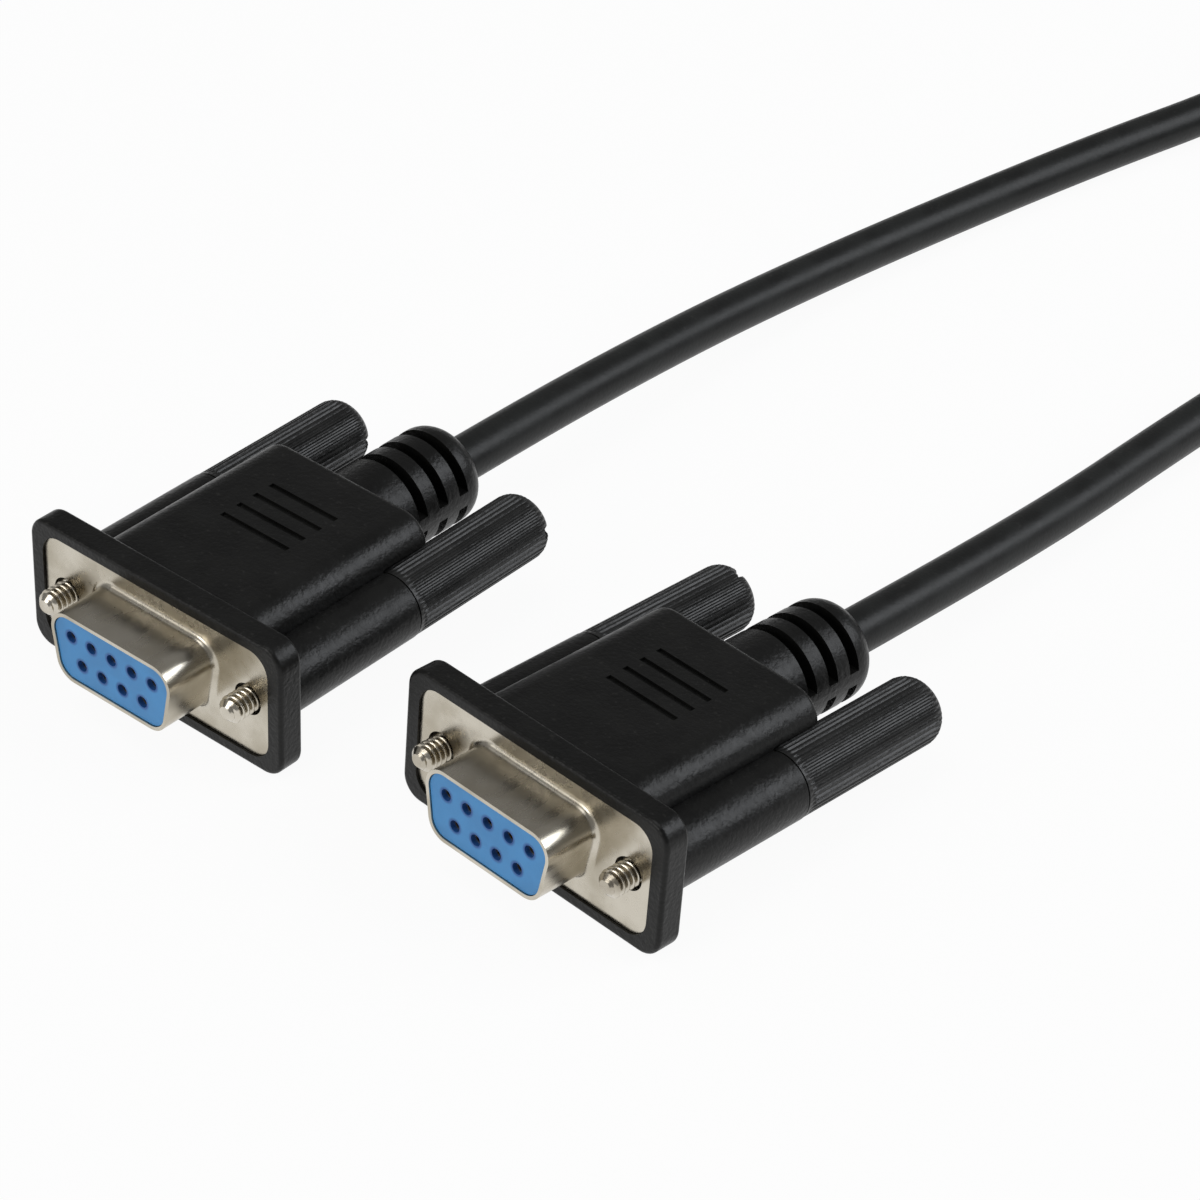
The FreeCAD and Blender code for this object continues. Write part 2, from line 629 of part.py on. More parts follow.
COIL_CENTRE = FreeCAD.Vector(52.5, 200.0, 0.0)
STRAIGHT_REACH = 48.0
ROUTE_A = [(-0.8, 80.0, 5.2), (0.2, 106.0, 3.2), (3.4, 130.0, 2.5), (7.4, 151.0, 2.5),
           (11.8, 170.0, 2.5), (13.7, 187.0, 2.5)]
ROUTE_B = [(48.5, 83.0, 3.45), (48.3, 103.0, 2.55), (49.3, 125.0, 2.5), (56.5, 146.0, 2.8),
           (70.5, 158.0, 4.2), (83.4, 170.2, 6.0), (90.2, 183.6, 7.2)]


def cord_route(tag, points):
    """The corners of a cord's path: two on the head's axis, then the chosen ones."""
    place = head_place(tag)
    start = place.multVec(FreeCAD.Vector(0, size("cord_inset"), 0))
    leave = place.multVec(FreeCAD.Vector(0, STRAIGHT_REACH, 0))
    return [start, leave] + [FreeCAD.Vector(*point) for point in points]


def rounded_path(corners):
    """Straight runs joined by tangent arcs, each as large as its two runs allow."""
    edges = []
    radii = []
    pen = corners[0]
    for before, corner, after in zip(corners, corners[1:], corners[2:]):
        back = (before - corner).normalize()
        ahead = (after - corner).normalize()
        turn = math.pi - back.getAngle(ahead)
        short = min((before - corner).Length, (after - corner).Length)
        reach = 0.45 * short
        radius = reach / math.tan(turn / 2)
        radii.append(radius)
        bisector = (back + ahead).normalize()
        centre = corner + bisector * math.hypot(radius, reach)
        first = corner + back * reach
        last = corner + ahead * reach
        edges.append(Part.LineSegment(pen, first).toShape())
        edges.append(Part.Arc(first, centre - bisector * radius, last).toShape())
        pen = last
    edges.append(Part.LineSegment(pen, corners[-1]).toShape())
    return Part.Wire(edges), radii


def make_cord(tag, points):
    """The round cord between a head and the coil."""
    path, radii = rounded_path(cord_route(tag, points))
    start = path.Edges[0]
    section = Part.Wire([Part.makeCircle(size("cord_radius"), start.valueAt(start.FirstParameter),
                                         start.tangentAt(start.FirstParameter))])
    item = doc.addObject("Part::Feature", f"cord_{tag}")
    item.Shape = path.makePipeShell([section], True, False, 2)
    expected = math.pi * size("cord_radius") ** 2 * path.Length
    print(f"cord_{tag}: length {path.Length:.1f} mm, volume over section times length"
          f" {item.Shape.Volume / expected:.4f}, radii", [round(radius) for radius in radii])
    return item


def make_coil():
    """The outer shape of the wound spare length, one closed ring."""
    height = size("coil_layers") * 2 * size("cord_radius")
    inner = size("coil_radius") - size("coil_width") / 2
    outer = size("coil_radius") + size("coil_width") / 2
    item = doc.addObject("Part::Feature", "cord_coil")
    ring = Part.makeCylinder(outer, height).cut(Part.makeCylinder(inner, height))
    rims = [edge for edge in ring.Edges if edge.BoundBox.ZLength < 1e-6]
    item.Shape = ring.makeFillet(size("cord_radius") * 0.9, rims)
    item.Placement.Base = COIL_CENTRE
    return item


pieces = []
for tag in ("a", "b"):
    for piece in make_head(tag):
        piece.Placement = head_place(tag) * piece.Placement
        pieces.append(piece)
pieces += [make_cord("a", ROUTE_A), make_cord("b", ROUTE_B), make_coil()]
doc.recompute()

faults = []
for item in doc.Objects:
    if {"Invalid", "Error"} & set(item.State):
        faults.append(f"{item.Name} {item.State}")
for piece in pieces:
    piece.Label = piece.Name
    if piece.Shape.isNull() or not piece.Shape.isValid() or not piece.Shape.Solids:
        faults.append(f"{piece.Name} has no valid solid")
if faults:
    raise RuntimeError("\n".join(faults))

os.makedirs("parts", exist_ok=True)
for piece in pieces:
    piece.Shape.exportStep(f"parts/{piece.Label}.step")
print(len(pieces), "pieces written")
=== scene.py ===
"""Serial cable: the looks of its two moulded heads, thumbscrews and cord, on a pale studio floor."""
import json
import logging
import math
from dataclasses import dataclass, field
from enum import Enum

import bpy
from mathutils import Matrix, Vector


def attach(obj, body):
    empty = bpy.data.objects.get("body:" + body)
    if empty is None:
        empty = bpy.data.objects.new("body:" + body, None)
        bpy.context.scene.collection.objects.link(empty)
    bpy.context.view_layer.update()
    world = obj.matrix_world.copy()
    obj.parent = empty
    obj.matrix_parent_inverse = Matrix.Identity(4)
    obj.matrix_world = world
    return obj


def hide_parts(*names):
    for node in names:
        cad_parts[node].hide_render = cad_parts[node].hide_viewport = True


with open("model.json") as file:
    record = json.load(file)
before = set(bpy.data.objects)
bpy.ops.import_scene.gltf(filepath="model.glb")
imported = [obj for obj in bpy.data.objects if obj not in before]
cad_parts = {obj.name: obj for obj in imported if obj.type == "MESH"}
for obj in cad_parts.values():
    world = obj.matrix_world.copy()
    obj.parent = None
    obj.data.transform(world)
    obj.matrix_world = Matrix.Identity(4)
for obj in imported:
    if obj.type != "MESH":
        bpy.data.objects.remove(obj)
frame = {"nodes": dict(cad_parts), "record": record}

log = logging.getLogger("serial_cable")
logging.basicConfig(level=logging.INFO, format="%(name)s: %(message)s")

MM = 0.001
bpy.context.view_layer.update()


class Side(Enum):
    """Which of a head's two thumbscrews, as seen from the socket's front."""

    LEFT = "left"
    RIGHT = "right"


@dataclass(frozen=True)
class Tone:
    """A colour in linear values."""

    red: float
    green: float
    blue: float

    def rgba(self) -> tuple[float, float, float, float]:
        """The colour with full alpha."""
        return (self.red, self.green, self.blue, 1.0)


@dataclass(frozen=True)
class HeadPlace:
    """Where one head's own frame lies on the surface."""

    tag: str
    right: float
    back: float
    turn: float
    sag: float
    half_height: float = 7.65
    edge_round: float = 0.45
    flange_back: float = 2.7

    def matrix(self) -> Matrix:
        """From the head's own millimetres to the row's metres.

        Returns:
            The matrix of a head that rests on the rear edge of its flange where it sags.
        """
        sag = math.radians(self.sag)
        lift = self.edge_round + (self.half_height - self.edge_round) * math.cos(sag)
        lift += (self.flange_back - self.edge_round) * math.sin(sag)
        place = Matrix.Translation(Vector((self.right, self.back, lift)) * MM)
        turned = Matrix.Rotation(-math.radians(self.turn), 4, "Z") @ Matrix.Rotation(-sag, 4, "X")
        return place @ turned @ Matrix.Scale(MM, 4)


HEADS = (HeadPlace(tag="a", right=0.0, back=-1.2, turn=0.0, sag=0.0),
         HeadPlace(tag="b", right=43.74, back=4.77, turn=4.43, sag=2.6))

SLOT_TURNS = {("a", Side.LEFT): 90.0, ("a", Side.RIGHT): 80.0,
              ("b", Side.LEFT): 12.0, ("b", Side.RIGHT): -50.0}


# Drawing node trees

# Where a colour mix keeps its share, its two colours and its result
MIX_SHARE, MIX_FIRST, MIX_SECOND, MIX_RESULT = 0, 6, 7, 2


class NodeSketch:
    """Adds and joins nodes in one tree with short calls."""

    def __init__(self, tree: bpy.types.NodeTree) -> None:
        """Keep the tree."""
        self.tree = tree

    def add(self, kind: str, **settings: object) -> bpy.types.Node:
        """Add a node.

        Args:
            kind: the node's type name.
            settings: properties of the node.

        Returns:
            The new node.
        """
        node = self.tree.nodes.new(kind)
        for name, value in settings.items():
            setattr(node, name, value)
        return node

    def feed(self, socket: bpy.types.NodeSocket, value: object) -> None:
        """Join a socket to another, or set its value.

        Args:
            socket: the input.
            value: an output socket, or a plain value.
        """
        if isinstance(value, bpy.types.NodeSocket):
            self.tree.links.new(value, socket)
        else:
            socket.default_value = value

    def feed_all(self, node: bpy.types.Node, values: dict[str, object]) -> None:
        """Feed several of a node's inputs by name.

        Args:
            node: the node.
            values: output sockets or plain values, by the inputs' names.
        """
        for name, value in values.items():
            self.feed(node.inputs[name], value)

    def math(self, operation: str, *values: object, clamp: bool = False) -> bpy.types.NodeSocket:
        """Add a Math node.

        Args:
            operation: what it works out.
            values: its inputs, sockets or numbers.
            clamp: whether the result is kept from 0 to 1.

        Returns:
            Its output.
        """
        node = self.add("ShaderNodeMath", operation=operation, use_clamp=clamp)
        for socket, value in zip(node.inputs, values):
            self.feed(socket, value)
        return node.outputs[0]

    def spread(self, value: object, low: object, high: object, start: object = 0.0,
               end: object = 1.0, way: str = "LINEAR") -> bpy.types.NodeSocket:
        """Map a value from one range to another.

        Args:
            value: what is mapped.
            low: the value that gives start.
            high: the value that gives end.
            start: the result at low.
            end: the result at high.
            way: how the result goes from start to end.

        Returns:
            The mapped value.
        """
        node = self.add("ShaderNodeMapRange", interpolation_type=way)
        self.feed_all(node, {"Value": value, "From Min": low, "From Max": high,
                             "To Min": start, "To Max": end})
        return node.outputs["Result"]

    def smooth(self, value: object, low: object, high: object, start: object = 0.0,
               end: object = 1.0) -> bpy.types.NodeSocket:
        """Map a value from one range to another with a soft start and end."""
        return self.spread(value, low, high, start, end, "SMOOTHSTEP")

    def distance(self, across: object, along: object) -> bpy.types.NodeSocket:
        """How far a point lies from an axis, from its two places beside it."""
        squares = [self.math("MULTIPLY", value, value) for value in (across, along)]
        return self.math("SQRT", self.math("ADD", *squares))

    def vector(self, across: object = 0.0, along: object = 0.0,
               height: object = 0.0) -> bpy.types.NodeSocket:
        """Join three numbers into a vector.

        Args:
            across: its X.
            along: its Y.
            height: its Z.

        Returns:
            The vector.
        """
        node = self.add("ShaderNodeCombineXYZ")
        for socket, value in zip(node.inputs, (across, along, height)):
            self.feed(socket, value)
        return node.outputs[0]

    def parts(self, vector: bpy.types.NodeSocket) -> tuple[bpy.types.NodeSocket, ...]:
        """Split a vector into its three numbers.

        Args:
            vector: the vector.

        Returns:
            Its X, Y and Z.
        """
        node = self.add("ShaderNodeSeparateXYZ")
        self.feed(node.inputs[0], vector)
        return tuple(node.outputs)

    def object_point(self) -> bpy.types.NodeSocket:
        """The shaded point in Object coordinates."""
        return self.add("ShaderNodeTexCoord").outputs["Object"]

    def noise(self, point: bpy.types.NodeSocket, scale: object,
              detail: float = 2.0) -> bpy.types.NodeSocket:
        """Add a noise pattern.

        Args:
            point: where it is read.
            scale: how fine it is.
            detail: how many finer layers it has.

        Returns:
            Its value.
        """
        node = self.add("ShaderNodeTexNoise")
        self.feed_all(node, {"Vector": point, "Scale": scale, "Detail": detail})
        return node.outputs[0]

    def mix(self, share: object, first: object, second: object) -> bpy.types.NodeSocket:
        """Mix two colours.

        Args:
            share: how much of the second colour is taken.
            first: the colour at a share of 0.
            second: the colour at a share of 1.

        Returns:
            The mixed colour.
        """
        node = self.add("ShaderNodeMix", data_type="RGBA")
        for number, value in ((MIX_SHARE, share), (MIX_FIRST, first), (MIX_SECOND, second)):
            self.feed(node.inputs[number], value)
        return node.outputs[MIX_RESULT]

    def bump(self, height: bpy.types.NodeSocket, strength: object,
             distance: float) -> bpy.types.NodeSocket:
        """Turn a pattern into a normal.

        Args:
            height: the pattern.
            strength: how much of it shows.
            distance: how high it stands, in metres.

        Returns:
            The normal.
        """
        node = self.add("ShaderNodeBump")
        self.feed_all(node, {"Strength": strength, "Distance": distance, "Height": height})
        return node.outputs[0]

    def moved(self, geometry: bpy.types.NodeSocket, by: bpy.types.NodeSocket,
              turn: object = (0.0, 0.0, 0.0)) -> bpy.types.NodeSocket:
        """Move and turn geometry.

        Args:
            geometry: what is moved.
            by: how far.
            turn: how far it turns about each axis, in radians.

        Returns:
            The moved geometry.
        """
        node = self.add("GeometryNodeTransform")
        self.feed_all(node, {"Geometry": geometry, "Translation": by, "Rotation": turn})
        return node.outputs[0]


# Shader node groups

# Heights of the reliefs, in metres
GRAIN_HEIGHT = 0.00006
STREAK_HEIGHT = 0.00002

# Moulded plastic: layers of noise, the noise values between which a pattern fades, and its shares
MOTTLE_DETAIL, GRAIN_DETAIL = 4.0, 2.0
MOTTLE_FADE = (0.35, 0.65)
MOTTLE_SHARE, GRAIN_SHARE = 0.6, 0.4
MOULDED_GLOSS_FADE = (0.3, 0.7)

# Dust
SPECK_DETAIL = 3.0
SPECK_FADE = (0.62, 0.75)
UPWARD_FADE = (0.3, 0.95)

# Plated metal
STREAK_STRETCH = (1.0, 0.12, 1.0)
CLOUD_SCALE, CLOUD_DETAIL = 220.0, 5.0
CLOUD_FADE = (0.35, 0.7)
CLOUD_SHARE, STREAK_SHARE = 0.5, 0.5
PLATED_GLOSS_FADE = (0.35, 0.65)

# Contact holes, in pitches: the lower row's reach to each side, and what the upper row has more
LOWER_ROW_REACH = 2.0
UPPER_ROW_SHIFT = 0.5


def new_group(name: str, inputs: dict[str, tuple[str, object]],
              outputs: dict[str, str]) -> tuple[bpy.types.NodeTree, NodeSketch]:
    """Make an empty shader node group with named sockets.

    Args:
        name: the group's name.
        inputs: socket names with their kind and starting value.
        outputs: socket names with their kind.

    Returns:
        The group and a sketch of it, with its input and output nodes in place.
    """
    tree = bpy.data.node_groups.new(name, "ShaderNodeTree")
    for label, (kind, value) in inputs.items():
        socket = tree.interface.new_socket(label, in_out="INPUT", socket_type=f"NodeSocket{kind}")
        socket.default_value = value
    for label, kind in outputs.items():
        tree.interface.new_socket(label, in_out="OUTPUT", socket_type=f"NodeSocket{kind}")
    tree.nodes.new("NodeGroupInput")
    tree.nodes.new("NodeGroupOutput")
    return tree, NodeSketch(tree)


def moulding_grain() -> bpy.types.NodeTree:
    """The fine spark-eroded grain and slow mottling of moulded plastic.

    Returns:
        The group, whose outputs are colour, roughness and normal.
    """
    tree, sketch = new_group(
        "moulding_grain",
        {"Dark": ("Color", (0.03, 0.03, 0.03, 1)), "Light": ("Color", (0.05, 0.05, 0.05, 1)),
         "Grain Scale": ("Float", 3500.0), "Mottle Scale": ("Float", 260.0),
         "Smooth": ("Float", 0.35), "Rough": ("Float", 0.5), "Relief": ("Float", 0.1)},
        {"Color": "Color", "Roughness": "Float", "Normal": "Vector"})
    given = tree.nodes["Group Input"].outputs
    point = sketch.object_point()
    mottle = sketch.noise(point, given["Mottle Scale"], MOTTLE_DETAIL)
    grain = sketch.noise(point, given["Grain Scale"], GRAIN_DETAIL)
    both = sketch.math("MULTIPLY_ADD", grain, GRAIN_SHARE, sketch.math("MULTIPLY", mottle, MOTTLE_SHARE))
    sketch.feed_all(tree.nodes["Group Output"], {
        "Color": sketch.mix(sketch.smooth(mottle, *MOTTLE_FADE), given["Dark"], given["Light"]),
        "Roughness": sketch.spread(both, *MOULDED_GLOSS_FADE, given["Smooth"], given["Rough"]),
        "Normal": sketch.bump(grain, given["Relief"], GRAIN_HEIGHT)})
    return tree


def handled_dust() -> bpy.types.NodeTree:
    """Sparse pale dust that settles on faces that look up.

    Returns:
        The group, whose output is a mask.
    """
    tree, sketch = new_group(
        "handled_dust",
        {"Amount": ("Float", 0.1), "Speck Scale": ("Float", 1800.0)}, {"Mask": "Float"})
    given = tree.nodes["Group Input"].outputs
    specks = sketch.noise(sketch.object_point(), given["Speck Scale"], SPECK_DETAIL)
    facing = sketch.parts(sketch.add("ShaderNodeNewGeometry").outputs["Normal"])[2]
    settled = sketch.math("MULTIPLY", sketch.smooth(facing, *UPWARD_FADE),
                          sketch.smooth(specks, *SPECK_FADE))
    sketch.feed(tree.nodes["Group Output"].inputs["Mask"],
                sketch.math("MULTIPLY", settled, given["Amount"]))
    return tree


def plated_streaks() -> bpy.types.NodeTree:
    """Fine drawn streaks and faint cloudiness of a plated metal surface.

    Returns:
        The group, whose outputs are colour, roughness and normal.
    """
    tree, sketch = new_group(
        "plated_streaks",
        {"Bright": ("Color", (0.8, 0.8, 0.8, 1)), "Dull": ("Color", (0.6, 0.6, 0.6, 1)),
         "Streak Scale": ("Float", 900.0), "Smooth": ("Float", 0.15), "Rough": ("Float", 0.35),
         "Relief": ("Float", 0.1)},
        {"Color": "Color", "Roughness": "Float", "Normal": "Vector"})
    given = tree.nodes["Group Input"].outputs
    point = sketch.object_point()
    stretched = sketch.add("ShaderNodeMapping")
    sketch.feed_all(stretched, {"Vector": point, "Scale": STREAK_STRETCH})
    streaks = sketch.noise(stretched.outputs[0], given["Streak Scale"])
    cloud = sketch.noise(point, CLOUD_SCALE, CLOUD_DETAIL)
    both = sketch.math("MULTIPLY_ADD", cloud, CLOUD_SHARE, sketch.math("MULTIPLY", streaks, STREAK_SHARE))
    sketch.feed_all(tree.nodes["Group Output"], {
        "Color": sketch.mix(sketch.smooth(cloud, *CLOUD_FADE), given["Bright"], given["Dull"]),
        "Roughness": sketch.spread(both, *PLATED_GLOSS_FADE, given["Smooth"], given["Rough"]),
        "Normal": sketch.bump(streaks, given["Relief"], STREAK_HEIGHT)})
    return tree


def contact_hole_shade() -> bpy.types.NodeTree:
    """The painted shade ring round each contact hole, from a point in a head's own millimetres.

    Returns:
        The group, whose output is a mask.
    """
    tree, sketch = new_group(
        "contact_hole_shade",
        {"Point": ("Vector", (0, 0, 0)), "Pitch": ("Float", 2.77), "Row Gap": ("Float", 2.84),
         "Inner": ("Float", 0.66), "Outer": ("Float", 1.0)}, {"Mask": "Float"})
    given = tree.nodes["Group Input"].outputs
    across, _, height = sketch.parts(given["Point"])
    upper = sketch.math("GREATER_THAN", height, 0.0)
    shift = sketch.math("MULTIPLY", upper, UPPER_ROW_SHIFT)
    steps = sketch.math("DIVIDE", across, given["Pitch"])
    share = sketch.math("SUBTRACT", sketch.math("FRACT", sketch.math("ADD", steps, shift)), 0.5)
    aside = sketch.math("MULTIPLY", share, given["Pitch"])
    half_gap = sketch.math("MULTIPLY", given["Row Gap"], 0.5)
    above = sketch.math("SUBTRACT", sketch.math("ABSOLUTE", height), half_gap)
    # painted shade: a dark ring round each contact hole stands in for the shade inside the hole's countersink
    shade_ring = sketch.smooth(sketch.distance(aside, above), given["Inner"], given["Outer"], 1.0, 0.0)
    reach = sketch.math("ADD", shift, LOWER_ROW_REACH)
    inside = sketch.math("LESS_THAN", sketch.math("ABSOLUTE", steps), reach)
    sketch.feed(tree.nodes["Group Output"].inputs["Mask"], sketch.math("MULTIPLY", shade_ring, inside))
    return tree


@dataclass(frozen=True)
class EffectGroups:
    """The node groups that the finishes share."""

    grain: bpy.types.NodeTree
    dust: bpy.types.NodeTree
    streaks: bpy.types.NodeTree
    hole_shade: bpy.types.NodeTree


# Finishes

@dataclass(frozen=True)
class MouldedPlastic:
    """A moulded plastic with grain, mottling and a little dust."""

    name: str
    dark: Tone
    light: Tone
    smooth: float
    rough: float
    relief: float = 0.12
    grain_scale: float = 3500.0
    mottle_scale: float = 260.0
    dust: float = 0.0
    dust_tone: Tone = Tone(0.35, 0.34, 0.32)
    specular: float = 0.5

    def make(self, groups: EffectGroups) -> bpy.types.Material:
        """Build the material.

        Args:
            groups: the shared effects.

        Returns:
            The material.
        """
        material = bpy.data.materials.new(self.name)
        material.use_nodes = True
        sketch = NodeSketch(material.node_tree)
        shader = material.node_tree.nodes["Principled BSDF"]
        grain = sketch.add("ShaderNodeGroup", node_tree=groups.grain)
        sketch.feed_all(grain, {
            "Dark": self.dark.rgba(), "Light": self.light.rgba(), "Grain Scale": self.grain_scale,
            "Mottle Scale": self.mottle_scale, "Smooth": self.smooth, "Rough": self.rough,
            "Relief": self.relief})
        dust = sketch.add("ShaderNodeGroup", node_tree=groups.dust)
        sketch.feed(dust.inputs["Amount"], self.dust)
        plain = sketch.mix(dust.outputs["Mask"], grain.outputs["Color"], self.dust_tone.rgba())
        sketch.feed_all(shader, {
            "Base Color": self.overlay(sketch, groups, plain),
            "Roughness": grain.outputs["Roughness"], "Normal": grain.outputs["Normal"]})
        shader.inputs["Specular IOR Level"].default_value = self.specular
        return material

    def overlay(self, sketch: NodeSketch, groups: EffectGroups,
                colour: bpy.types.NodeSocket) -> bpy.types.NodeSocket:
        """Change the colour where the piece has painted shade; plain plastic has none."""
        return colour


@dataclass(frozen=True)
class SocketPlastic(MouldedPlastic):
    """The plastic of the socket's face, with painted shade round each contact hole."""

    # painted shade: the dark navy tone of the rings round the contact holes
    hole_shade_tone: Tone = Tone(0.018, 0.10, 0.34)

    def overlay(self, sketch: NodeSketch, groups: EffectGroups,
                colour: bpy.types.NodeSocket) -> bpy.types.NodeSocket:
        """Darken the colour round each head's contact holes.

        Args:
            sketch: the material's tree.
            groups: the shared effects.
            colour: the plain colour.

        Returns:
            The colour with its painted hole shade.
        """
        point = sketch.object_point()
        hole_shade_masks = []
        for head in HEADS:
            local = sketch.add("ShaderNodeMapping", vector_type="TEXTURE")
            sketch.feed_all(local, {
                "Vector": point, "Location": head.matrix().to_translation(),
                "Rotation": head.matrix().to_euler(), "Scale": (MM, MM, MM)})
            hole_shade = sketch.add("ShaderNodeGroup", node_tree=groups.hole_shade)
            sketch.feed(hole_shade.inputs["Point"], local.outputs[0])
            hole_shade_masks.append(hole_shade.outputs["Mask"])
        # painted shade mixed into the socket's colour round its contact holes
        return sketch.mix(sketch.math("MAXIMUM", *hole_shade_masks), colour, self.hole_shade_tone.rgba())


@dataclass(frozen=True)
class PlatedMetal:
    """A plated or turned metal with fine streaks."""

    name: str
    bright: Tone
    dull: Tone
    smooth: float
    rough: float
    relief: float = 0.1
    streak_scale: float = 900.0

    def make(self, groups: EffectGroups) -> bpy.types.Material:
        """Build the material.

        Args:
            groups: the shared effects.

        Returns:
            The material.
        """
        material = bpy.data.materials.new(self.name)
        material.use_nodes = True
        sketch = NodeSketch(material.node_tree)
        shader = material.node_tree.nodes["Principled BSDF"]
        streaks = sketch.add("ShaderNodeGroup", node_tree=groups.streaks)
        sketch.feed_all(streaks, {
            "Bright": self.bright.rgba(), "Dull": self.dull.rgba(), "Streak Scale": self.streak_scale,
            "Smooth": self.smooth, "Rough": self.rough, "Relief": self.relief})
        sketch.feed_all(shader, {
            "Base Color": streaks.outputs["Color"], "Roughness": streaks.outputs["Roughness"],
            "Normal": streaks.outputs["Normal"]})
        shader.inputs["Metallic"].default_value = 1.0
        return material


FINISHES: dict[str, MouldedPlastic | PlatedMetal] = {
    "hood_plastic": MouldedPlastic(
        "hood_moulding", Tone(0.0035, 0.0035, 0.0033), Tone(0.006, 0.006, 0.0056),
        smooth=0.30, rough=0.44, relief=1.0, grain_scale=2100.0, dust=0.03, specular=0.24),
    "knob_plastic": MouldedPlastic(
        "knob_moulding", Tone(0.009, 0.009, 0.0088), Tone(0.013, 0.013, 0.0125),
        smooth=0.30, rough=0.44, relief=0.8, grain_scale=2100.0, dust=0.03, specular=0.34),
    "nickel_shell": PlatedMetal(
        "drawn_nickel_shell", Tone(0.60, 0.56, 0.48), Tone(0.46, 0.42, 0.34), smooth=0.20, rough=0.34),
    "blue_insulator": SocketPlastic(
        "blue_socket_block", Tone(0.050, 0.25, 0.56), Tone(0.064, 0.29, 0.63),
        smooth=0.35, rough=0.5, dust=0.02),
    "dark_insulator": MouldedPlastic(
        "dark_rear_block", Tone(0.02, 0.02, 0.02), Tone(0.035, 0.035, 0.035), smooth=0.4, rough=0.6),
    "contact_brass": PlatedMetal(
        "gilt_contact", Tone(0.80, 0.62, 0.30), Tone(0.62, 0.46, 0.20), smooth=0.2, rough=0.35),
    "wire_sleeve": MouldedPlastic(
        "wire_sleeve", Tone(0.45, 0.45, 0.43), Tone(0.6, 0.6, 0.58), smooth=0.35, rough=0.5),
    "inner_plastic": MouldedPlastic(
        "inner_moulding", Tone(0.55, 0.54, 0.48), Tone(0.65, 0.64, 0.58), smooth=0.45, rough=0.6),
    "crimp_metal": PlatedMetal(
        "crimped_ring", Tone(0.75, 0.75, 0.75), Tone(0.6, 0.6, 0.6), smooth=0.25, rough=0.4),
    "screw_steel": PlatedMetal(
        "rolled_thread", Tone(0.62, 0.58, 0.50), Tone(0.40, 0.36, 0.29),
        smooth=0.16, rough=0.3, streak_scale=1600.0),
    "clip_steel": PlatedMetal(
        "spring_clip", Tone(0.5, 0.5, 0.52), Tone(0.4, 0.4, 0.42), smooth=0.25, rough=0.4),
    "cord_jacket": MouldedPlastic(
        "cord_jacket", Tone(0.009, 0.0095, 0.0092), Tone(0.014, 0.015, 0.0145),
        smooth=0.34, rough=0.46, relief=0.4, grain_scale=2600.0, dust=0.03, specular=0.22),
}


@dataclass
class FinishShelf:
    """Makes each finish once and hands it out by its slot."""

    groups: EffectGroups
    made: dict[str, bpy.types.Material] = field(default_factory=dict)

    def take(self, slot: str) -> bpy.types.Material:
        """The material of a slot.

        Args:
            slot: a name in FINISHES.

        Returns:
            Its material.
        """
        if slot not in self.made:
            self.made[slot] = FINISHES[slot].make(self.groups)
        return self.made[slot]

    def dress(self, piece: bpy.types.Object, slot: str) -> None:
        """Give a piece one finish.

        Args:
            piece: the object.
            slot: a name in FINISHES.
        """
        piece.data.materials.clear()
        piece.data.materials.append(self.take(slot))
        log.info("%s wears %s", piece.name, slot)


# The studio

@dataclass(frozen=True)
class PhotoCamera:
    """A camera that stands where the photograph's did."""

    place: Vector = Vector((237.10, -225.71, 253.37)) * MM
    azimuth: float = 38.972
    elevation: float = 36.307
    roll: float = 2.577
    lens: float = 124.76
    sensor_width: float = 36.0
    clip_start: float = 0.01
    clip_end: float = 20.0

    def make(self) -> bpy.types.Object:
        """Build the camera.

        Returns:
            The camera object.
        """
        turn = math.radians(self.azimuth)
        tilt = math.radians(self.elevation)
        roll = math.radians(self.roll)
        ahead = Vector((-math.sin(turn) * math.cos(tilt), math.cos(turn) * math.cos(tilt), -math.sin(tilt)))
        right = Vector((math.cos(turn), math.sin(turn), 0.0))
        above = right.cross(ahead)
        rolled_right = math.cos(roll) * right + math.sin(roll) * above
        rolled_above = -math.sin(roll) * right + math.cos(roll) * above
        data = bpy.data.cameras.new("photo_camera")
        data.lens = self.lens
        data.sensor_width = self.sensor_width
        data.sensor_fit = "HORIZONTAL"
        data.clip_start = self.clip_start
        data.clip_end = self.clip_end
        camera = bpy.data.objects.new("photo_camera", data)
        bpy.context.scene.collection.objects.link(camera)
        basis = Matrix((rolled_right, rolled_above, -ahead)).transposed().to_4x4()
        camera.matrix_world = Matrix.Translation(self.place) @ basis
        bpy.context.scene.camera = camera
        return camera


@dataclass(frozen=True)
class SoftBox:
    """One large soft lamp."""

    name: str
    place: tuple[float, float, float]
    aim: tuple[float, float, float]
    width: float
    height: float
    power: float
    tint: tuple[float, float, float] = (1.0, 1.0, 1.0)

    def make(self) -> bpy.types.Object:
        """Build the lamp.

        Returns:
            The lamp object.
        """
        data = bpy.data.lights.new(self.name, "AREA")
        data.shape = "RECTANGLE"
        data.size = self.width
        data.size_y = self.height
        data.energy = self.power
        data.color = self.tint
        lamp = bpy.data.objects.new(self.name, data)
        bpy.context.scene.collection.objects.link(lamp)
        lamp.location = self.place
        way = Vector(self.aim) - Vector(self.place)
        lamp.rotation_euler = way.to_track_quat("-Z", "Y").to_euler()
        return lamp


